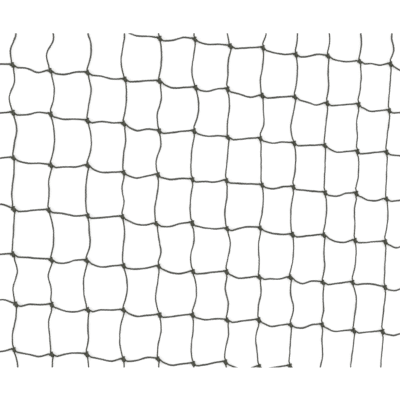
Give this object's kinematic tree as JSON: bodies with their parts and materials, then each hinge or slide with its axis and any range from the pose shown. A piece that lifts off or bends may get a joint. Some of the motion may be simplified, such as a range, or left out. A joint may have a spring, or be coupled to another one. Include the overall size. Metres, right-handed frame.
{
  "type": "cat protection net",
  "caption": "Cut length of knotted twine netting with near-square meshes, cut straight on all sides, lying flat, that keeps a cat in while air and light pass.",
  "frame": {"origin": "under the middle of the netting's outline, on the surface that its knots rest on", "axes": "+X to the right along the courses of crossbars, +Y up along the uprights, +Z out of the netting's front, away from the surface"},
  "size_m": [0.296, 0.2442, 0.0028],
  "materials": {
    "twine": "matt twisted polyethylene twine, dark olive grey"
  },
  "bodies": {
    "root": {"net": "twine"}
  },
  "joints": []
}
